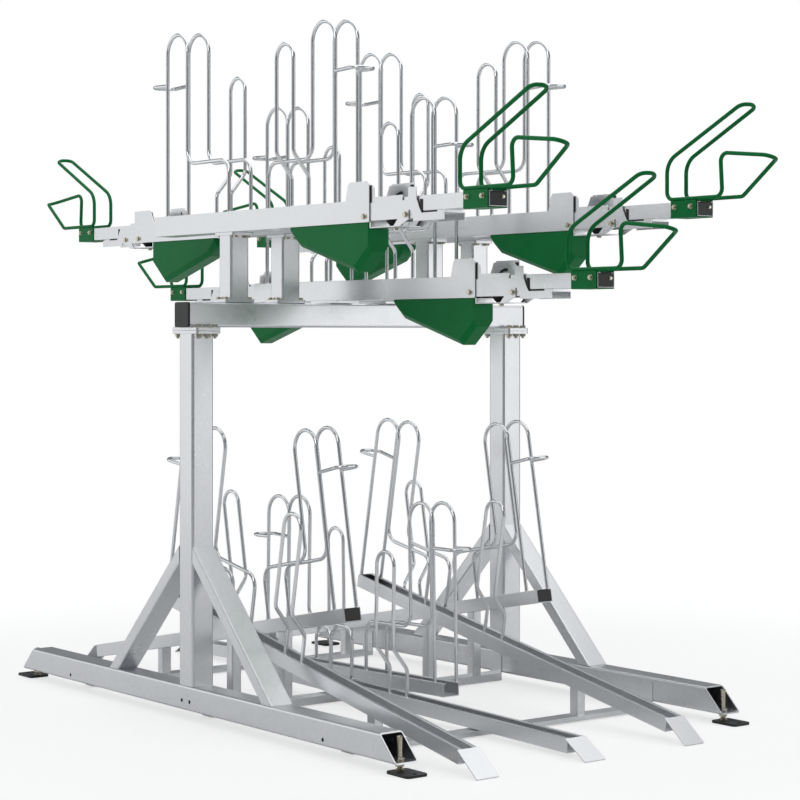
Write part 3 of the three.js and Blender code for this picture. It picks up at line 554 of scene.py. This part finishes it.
def bent_bar(name, corners, radius, sides=18):
    """A round bar run along straight lengths and bends: each corner has its place and bend radius."""
    step_turn, no_length = 0.16, 1e-5       # radians to a step of a bend, and a length left out
    points = [Vector(point) for point, _ in corners]
    heading = (points[1] - points[0]).normalized()
    bpy.ops.object.select_all(action="DESELECT")
    bpy.ops.mesh.primitive_circle_add(vertices=sides, radius=radius, fill_type="NGON", location=points[0],
                                      rotation=heading.to_track_quat("Z", "Y").to_euler())
    bpy.ops.object.transform_apply()
    bar = bpy.context.object
    bar.name = name
    bpy.ops.object.mode_set(mode="EDIT")
    bpy.ops.mesh.select_mode(type="FACE")
    bpy.ops.mesh.select_all(action="SELECT")
    reached = points[0]
    for index in range(1, len(points) - 1):
        bend = corners[index][1]
        before = (points[index] - points[index - 1]).normalized()
        after = (points[index + 1] - points[index]).normalized()
        turn = before.angle(after)
        start = points[index] - before * bend * math.tan(turn / 2)
        if (start - reached).length > no_length:
            bpy.ops.mesh.extrude_region_move(TRANSFORM_OT_translate={"value": start - reached})
        inward = (after - before * math.cos(turn)).normalized()
        bpy.ops.mesh.spin(steps=max(3, round(turn / step_turn)), angle=turn, center=start + inward * bend,
                          axis=after.cross(before).normalized())
        reached = points[index] + after * bend * math.tan(turn / 2)
    bpy.ops.mesh.extrude_region_move(TRANSFORM_OT_translate={"value": points[-1] - reached})
    bpy.ops.mesh.select_all(action="SELECT")
    bpy.ops.mesh.remove_doubles(threshold=no_length)
    bpy.ops.mesh.normals_make_consistent(inside=False)
    bpy.ops.object.mode_set(mode="OBJECT")
    return bar


lip_width, tray_half, tray_high, tray_sheet, tray_edge = 0.011, 0.032, 0.044, 0.0025, 0.0018
bar_radius, bar_x, weld_squash = 0.006, 0.0265, 0.7
# How far a weld stands out past its bar, and at what height above the lip.
weld_steps = ((0.0022, 0), (0.0019, 0.0008), (0.0008, 0.0019), (-0.0002, 0.0027))
hoop_bend, hump_bend, ring_bend, jog_bend, small_bend = 0.062, 0.045, 0.030, 0.035, 0.045
left_back, right_back, hump_high, hump_long = -0.362, -0.316, 0.168, 0.250
ring_high, ring_half, ring_past = 0.436, 0.044, 0.086
jog_low, jog_high, jog_x = 0.088, 0.158, -0.0835


def weld_bead(place):
    """A weld at the foot of a bar, in front of it and behind it along the lip."""
    bead = turned("weld", [(bar_radius + reach, up) for reach, up in weld_steps], sides=20)
    bead.data.transform(Matrix.Translation(place) @ Matrix.Diagonal((weld_squash, 1, 1, 1)))
    return bead


def hoop_set(height, small_height, small_out):
    """The hoops of one tray, above lips at height 0, with a weld round each foot."""
    hoops = []
    for x, back in ((-bar_x, left_back), (bar_x, right_back)):
        inner = back + 2 * hoop_bend
        foot = inner + hump_long
        corners = [(back, 0, 0), (back, height, hoop_bend), (inner, height, hoop_bend),
                   (inner, hump_high, hump_bend), (foot, hump_high, hump_bend), (foot, 0, 0)]
        route = [((x, -out, up), bend) for out, up, bend in corners]
        hoops.append(bent_bar("tall_hoop", route, bar_radius))
        hoops += [weld_bead((x, -back, 0)), weld_bead((x, -foot, 0))]
    behind = ring_past - left_back
    hoops.append(bent_bar("lock_ring", [
        ((bar_x, -right_back, ring_high), 0), ((ring_half, behind, ring_high), ring_bend),
        ((-ring_half, behind, ring_high), ring_bend), ((-bar_x, -left_back, ring_high), 0)], bar_radius))
    near, far = small_out - small_bend, small_out + small_bend
    near_leg, far_leg = (
        [((-bar_x, -out, 0), 0), ((-bar_x, -out, jog_low), jog_bend), ((jog_x, -out, jog_high), jog_bend)]
        for out in (near, far))
    hoops.append(bent_bar("small_hoop", [
        *near_leg, ((jog_x, -near, small_height), small_bend), ((jog_x, -far, small_height), small_bend),
        *reversed(far_leg)], bar_radius))
    hoops += [weld_bead((-bar_x, -near, 0)), weld_bead((-bar_x, -far, 0))]
    return joined("hoops", hoops)


def folded_sheet(name, low, high, turn_in, sheet, eased, segments=2):
    """Sheet folded to three sides of a block, with its top edges turned inwards."""
    piece = start_block(name, low, high)
    pick(piece, "FACE", lambda face: abs(face.normal.y) > square_on or face.normal.z > square_on)
    bpy.ops.mesh.delete(type="FACE")
    for side in (-1, 1):
        pick(piece, "EDGE", lambda edge: all(
            v.z > high[2] - same_place and v.x * side > high[0] / 2 for v in ends_of(piece, edge)))
        bpy.ops.mesh.extrude_region_move(TRANSFORM_OT_translate={"value": (-side * turn_in, 0, 0)})
    bpy.ops.mesh.select_all(action="SELECT")
    bpy.ops.mesh.normals_make_consistent(inside=False)
    bpy.ops.object.mode_set(mode="OBJECT")
    apply_modifier(piece, "SOLIDIFY", thickness=sheet, offset=-1, use_even_offset=True)
    ease_edges(piece, eased, segments)
    return piece


def channel(back, front):
    """A tray's channel, with its lips at height 0."""
    return folded_sheet("channel", (-tray_half, -front, -tray_high), (tray_half, -back, 0),
                        lip_width, tray_sheet, tray_edge)


def end_plug(out, facing):
    """The black plug that closes a channel's end, a little inside its rim."""
    play, rim, deep, plug_round = 0.0002, 0.0004, 0.014, 0.003
    rib_play, rib_drop, rib_round = 0.0003, 0.0006, 0.001
    inside, middle = tray_half - tray_sheet - play, tray_half - lip_width - rib_play
    ys = sorted((-out + facing * rim, -out + facing * deep))
    body = plate("plug", (-inside, ys[0], tray_sheet - tray_high + play),
                 (inside, ys[1], -tray_sheet - play), along_y, plug_round)
    rib = plate("rib", (-middle, ys[0], -2 * tray_sheet), (middle, ys[1], -rib_drop), along_y, rib_round)
    return joined("plug", [body, rib])


def at_place(number, height=0):
    """Where a place stands: the even ones are turned half round."""
    pitch, middle_place = 0.2, 3.5
    turn = math.pi if number % 2 == 0 else 0
    return Matrix.Translation(((number - middle_place) * pitch, 0, height)) @ Matrix.Rotation(turn, 4, "Z")


tray_rise, upper_back, upper_front = 0.022, -0.422, 1.315
lip_rise = tray_rise + tray_high
bracket_drop = 0.018
rail_height = {number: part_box(f"rail_{number}")[0][2] + bracket_drop for number in range(1, 7)}
stop_half, stop_long, stop_deep, stop_sink, stop_round = 0.020, 0.022, 0.010, 0.001, 0.003
screw_x, screw_up, screw_sink = 0.016, -0.017, 0.0004
upper_hoops = hoop_set(height=0.599, small_height=0.489, small_out=0.410)
upper_channel = channel(upper_back, upper_front)
stop = plate("stop", (-stop_half, -upper_back - stop_long, -tray_high - stop_deep),
             (stop_half, -upper_back, stop_sink - tray_high), along_z, stop_round)
upper_channel = joined("channel", [upper_channel, stop])
upper_plugs = joined("plugs", [end_plug(upper_back, -1), end_plug(upper_front, 1)])
plug_screw = bolt(across=0.0080, head=0.0030, washer=0.0055)
screw_spots = [((screw_x, screw_sink - upper_front, screw_up), (0, -1, 0))]
for number in range(1, 7):
    matrix = at_place(number, rail_height[number] + lip_rise)
    body = f"sliding_tray_{number}"
    finished(copy_of(upper_channel, f"slide_channel_{number}", matrix), tray_steel, "galvanised_steel",
             body, f"upper_tray_{number}")
    finished(copy_of(upper_hoops, f"upper_hoops_{number}", matrix), bar_steel, "galvanised_steel", body,
             angle=50)
    finished(copy_of(upper_plugs, f"tray_plugs_{number}", matrix), plastic, "black_plastic", body)
    bolted(f"plug_screw_{number}", plug_screw, screw_spots, body, matrix)
dropped(upper_hoops, upper_channel, upper_plugs)

lower_back, lower_front, ramp_half, ramp_reach = -0.368, 1.186, 0.040, 0.086
ramp_sheet, ramp_round, toe_gap = 0.003, 0.002, 0.0025
low_places = (3, 4)
lower_hoops = hoop_set(height=0.580, small_height=0.460, small_out=0.380)
for numbers, back_top, front_top in ((raised_places, 0.364, 0.072), (low_places, 0.088, 0.057)):
    slope = math.atan((back_top - front_top) / (lower_front - lower_back))
    lift = Matrix.Translation((0, 0, back_top + lower_back * math.tan(slope)))
    lie = lift @ Matrix.Rotation(slope, 4, "X")
    lower_channel = channel(lower_back / math.cos(slope), lower_front / math.cos(slope))
    lower_channel.data.transform(lie)
    fall = math.atan((front_top - toe_gap) / ramp_reach)
    ramp = plate("ramp", (-ramp_half, -ramp_reach / math.cos(fall), -ramp_sheet), (ramp_half, 0, 0),
                 along_z, ramp_round)
    ramp_end = Matrix.Translation((0, ramp_sheet / 3 - lower_front, front_top))
    ramp.data.transform(ramp_end @ Matrix.Rotation(fall, 4, "X"))
    lower_tray = joined("lower_tray", [lower_channel, ramp])
    lower_plug = end_plug(lower_back / math.cos(slope), -1)
    for number in numbers:
        finished(copy_of(lower_tray, f"wheel_channel_{number}", at_place(number)), tray_steel,
                 "galvanised_steel", "frame", f"lower_tray_{number}")
        matrix = at_place(number) @ lie
        finished(copy_of(lower_hoops, f"lower_hoops_{number}", matrix), bar_steel, "galvanised_steel",
                 "frame", angle=50)
        if number in raised_places:
            finished(copy_of(lower_plug, f"lower_plug_{number}", matrix), plastic, "black_plastic", "frame")
    dropped(lower_tray, lower_plug)
dropped(lower_hoops)


# The pull handles. One green bar bent into a tall loop and a low one, and welded on a
# sleeve of sheet steel that is bolted round the tray's outer end. Powder coated.
def powder_coat(name, pale, dark):
    """A coat a little cloudy in colour and gloss, with a fine orange peel."""
    cloud_scale, peel_scale, peel_strength, peel_depth = 9, 420, 0.10, 0.0004
    rough, gloss_range, sheen = 0.30, 0.12, 0.14
    material, sheet, shader = new_finish(name)
    place = sheet.node("ShaderNodeTexCoord", out="Object")
    clouds = sheet.node("ShaderNodeTexNoise", None, {"Vector": place, "Scale": cloud_scale, "Detail": 3})
    peel = sheet.node("ShaderNodeTexNoise", None, {"Vector": place, "Scale": peel_scale, "Detail": 1})
    colour = sheet.node("ShaderNodeMix", {"data_type": "RGBA"},
                        {"Factor": clouds, "A": (*dark, 1), "B": (*pale, 1)}, out="Result")
    relief = sheet.node("ShaderNodeBump", None, {
        "Strength": peel_strength, "Distance": peel_depth, "Height": peel})
    gloss = rough + clouds * gloss_range
    shader.inputs["Specular IOR Level"].default_value = sheen
    return linked(material, shader, colour, gloss, relief)


green = powder_coat("green_powder_coat", pale=(0.0004, 0.205, 0.050), dark=(0.0004, 0.150, 0.034))
sleeve_half, sleeve_low, sleeve_top = 0.0356, 0.0187, 0.070
sleeve_back, sleeve_front, sleeve_sheet = 1.205, 1.311, 0.003
sleeve_turn, sleeve_edge = 0.0146, 0.0022
sleeve = folded_sheet("sleeve", (-sleeve_half, -sleeve_front, sleeve_low),
                      (sleeve_half, -sleeve_back, sleeve_top),
                      sleeve_turn, sleeve_sheet, sleeve_edge, segments=3)

grip_half, grip_low, grip_tip, grip_radius = 0.028, 0.075, 0.337, 0.006
tight, lean = 0.024, 0.060
# The bar's corners in turn: across, outwards, height above the rail, and the radius of the bend.
bar_route = (
    (-grip_half, 1.258, grip_low, 0), (-grip_half, 1.183, grip_low, tight),
    (-grip_half, 1.183, 0.189, lean), (-grip_half, 1.484, grip_tip, tight),
    (grip_half, 1.501, grip_tip, tight), (grip_half, 1.207, 0.189, lean),
    (grip_half, 1.207, grip_low, tight), (grip_half, 1.437, grip_low, tight),
    (grip_half, 1.562, 0.171, tight), (-grip_half, 1.6295, 0.179, tight),
    (-grip_half, 1.402, 0.203, tight), (-grip_half, 1.410, grip_low, tight),
    (-grip_half, 1.2585, grip_low, 0))
loops = bent_bar("loops", [((x, -out, up), bend) for x, out, up, bend in bar_route], grip_radius, sides=20)
handle = joined("handle", [sleeve, loops])
sleeve_bolt = bolt(across=0.0130, head=0.0055, washer=0.0082, shank=0.003, shank_radius=0.004)
sleeve_bolt_outs, sleeve_bolt_up = (1.223, 1.290), 0.051
sleeve_spots = [((side * sleeve_half, -out, sleeve_bolt_up), (side, 0, 0))
                for side in (-1, 1) for out in sleeve_bolt_outs]
for number in range(1, 7):
    matrix = at_place(number, rail_height[number])
    finished(copy_of(handle, f"pull_handle_{number}", matrix), green, "green_coat",
             f"sliding_tray_{number}", f"handle_{number}")
    bolted(f"handle_bolts_{number}", sleeve_bolt, sleeve_spots, f"sliding_tray_{number}", matrix)
dropped(handle)


# The rails, cradles, ties and housings. Laser-cut and folded sheet, galvanised, or powder
# coated for the housings. Each is the designed shape with its cut and folded edges eased.
sheet_steel = galvanised_steel("galvanised_sheet", pale=(0.84, 0.85, 0.86), dark=(0.72, 0.73, 0.74),
                               rough=0.31, spangle_size=0.010, relief_strength=0.05)


def eased_copy(node, name, width, segments=2, angle=30):
    """A copy of a designed shape, with its triangles merged to flat faces and its edges eased."""
    piece = copy_of(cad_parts[node], name, Matrix.Identity(4))
    bpy.ops.object.select_all(action="DESELECT")
    piece.select_set(True)
    bpy.context.view_layer.objects.active = piece
    bpy.ops.object.mode_set(mode="EDIT")
    bpy.ops.mesh.select_mode(type="VERT")
    bpy.ops.mesh.select_all(action="SELECT")
    bpy.ops.mesh.remove_doubles(threshold=same_place)
    bpy.ops.mesh.dissolve_limited(angle_limit=math.radians(1))
    bpy.ops.object.mode_set(mode="OBJECT")
    ease_edges(piece, width, segments, angle)
    return piece


folded_edge, cradle_edge, housing_edge = 0.0006, 0.0005, 0.0012
for node, numbers, width, finish, slot, body in (
        ("rail", raised_places, folded_edge, sheet_steel, "galvanised_steel", "frame"),
        ("rail", low_places, folded_edge, sheet_steel, "galvanised_steel", "frame"),
        ("cradle", range(1, 7), cradle_edge, sheet_steel, "galvanised_steel", "tilt_cradle"),
        ("spring_housing", range(1, 7), housing_edge, green, "green_coat", "frame")):
    first = numbers[0]
    model = eased_copy(f"{node}_{first}", node, width)
    home = at_place(first, rail_height[first]).inverted()
    for number in numbers:
        rider = body if body == "frame" else f"{body}_{number}"
        matrix = at_place(number, rail_height[number]) @ home
        finished(copy_of(model, f"folded_{node}_{number}", matrix), finish, slot, rider,
                 f"{node}_{number}", angle=32)
    dropped(model)
for end in ("centre", "front", "back"):
    finished(eased_copy(f"tie_{end}", f"cross_tie_{end}", folded_edge), sheet_steel, "galvanised_steel",
             "frame", f"tie_{end}", angle=32)


# What is fitted to a rail's mouth: bolt heads at the pivot, the cheeks and the bracket, black
# liners under the tray, black glides beside the ears, and the rubber buffer for the level cradle.
# The glides are painted shade: black blocks put where the rail's mouth lies in shade behind the cheeks.
rail_half, pivot_out, pivot_up, buffer_out = 0.0418, 0.955, 0.014, 0.855
left_bolt, right_bolt = (0.755, 0.017), (0.865, 0.015)      # outwards, height above the rail
rail_spots = [((side * rail_half, -out, up), (side, 0, 0)) for side, out, up in (
    (-1, *left_bolt), (1, *right_bolt), (-1, pivot_out, pivot_up), (1, pivot_out, pivot_up))]
rail_spots.append(((0, -buffer_out, -bracket_drop), (0, 0, -1)))
# The buffer's radius and height, from its foot up over its waist to its rim.
buffer_profile = [
    (0.0128, -0.0150), (0.0142, -0.0146), (0.0205, -0.0085), (0.0212, -0.0070),
    (0.0264, -0.0015), (0.0276, 0.0002), (0.0276, 0.0022), (0.0268, 0.0031)]
buffer = turned("buffer", buffer_profile, sides=36)
buffer.data.transform(Matrix.Translation((0, -buffer_out, 0)))
# The glides' inner and outer sides. The glides are painted shade: black blocks in the rail's mouth.
sill_half, strip_sheet, shade_glide_in, shade_glide_out = 0.0324, 0.0030, 0.0359, 0.0385
liner_round, strip_round = 0.002, 0.001
# Each liner's lowest and highest corner, the axis of its thickness and its corners' radius.
liners_and_shade_glides = joined("liners_and_shade_glides", [plate(*liner) for liner in (
    ("sill_pad", (-sill_half, -1.0880, 0.0140), (sill_half, -1.0100, 0.0218), along_z, liner_round),
    ("left_strip", (-sill_half - strip_sheet, -1.020, 0.0168), (-sill_half, -1.012, 0.0560),
     along_x, strip_round),
    ("right_strip", (sill_half, -1.020, 0.0168), (sill_half + strip_sheet, -1.012, 0.0560),
     along_x, strip_round),
    # Painted shade: the two glides are black blocks where the rail's mouth lies in shade behind the cheeks.
    ("left_shade_glide", (-shade_glide_out, -0.7835, 0.0565), (-shade_glide_in, -0.7050, 0.1045), along_x, liner_round),
    ("right_shade_glide", (shade_glide_in, -0.8905, 0.0565), (shade_glide_out, -0.7780, 0.1065), along_x, liner_round))])
for number in range(1, 7):
    matrix = at_place(number, rail_height[number])
    bolted(f"rail_bolts_{number}", small_bolt, rail_spots, "frame", matrix)
    finished(copy_of(buffer, f"rubber_buffer_{number}", matrix), rubber, "black_plastic", "frame", angle=50)
    # The black liners under the tray are real parts; the glides that ride with them are painted shade.
    finished(copy_of(liners_and_shade_glides, f"cradle_liners_{number}", matrix), plastic, "black_plastic",
             f"tilt_cradle_{number}")
dropped(buffer, liners_and_shade_glides, frame_bolt, frame_nut, small_bolt, plug_screw, sleeve_bolt)


# The beam caps. Black moulded plastic plugs, each with a square flange that covers the
# tube's edge, pressed into the top beam's open ends.
cap_edge = 0.0016
for side in ("left", "right"):
    finished(eased_copy(f"beam_cap_{side}", f"end_cap_{side}", cap_edge, segments=3), plastic,
             "black_plastic", "frame", f"beam_cap_{side}")
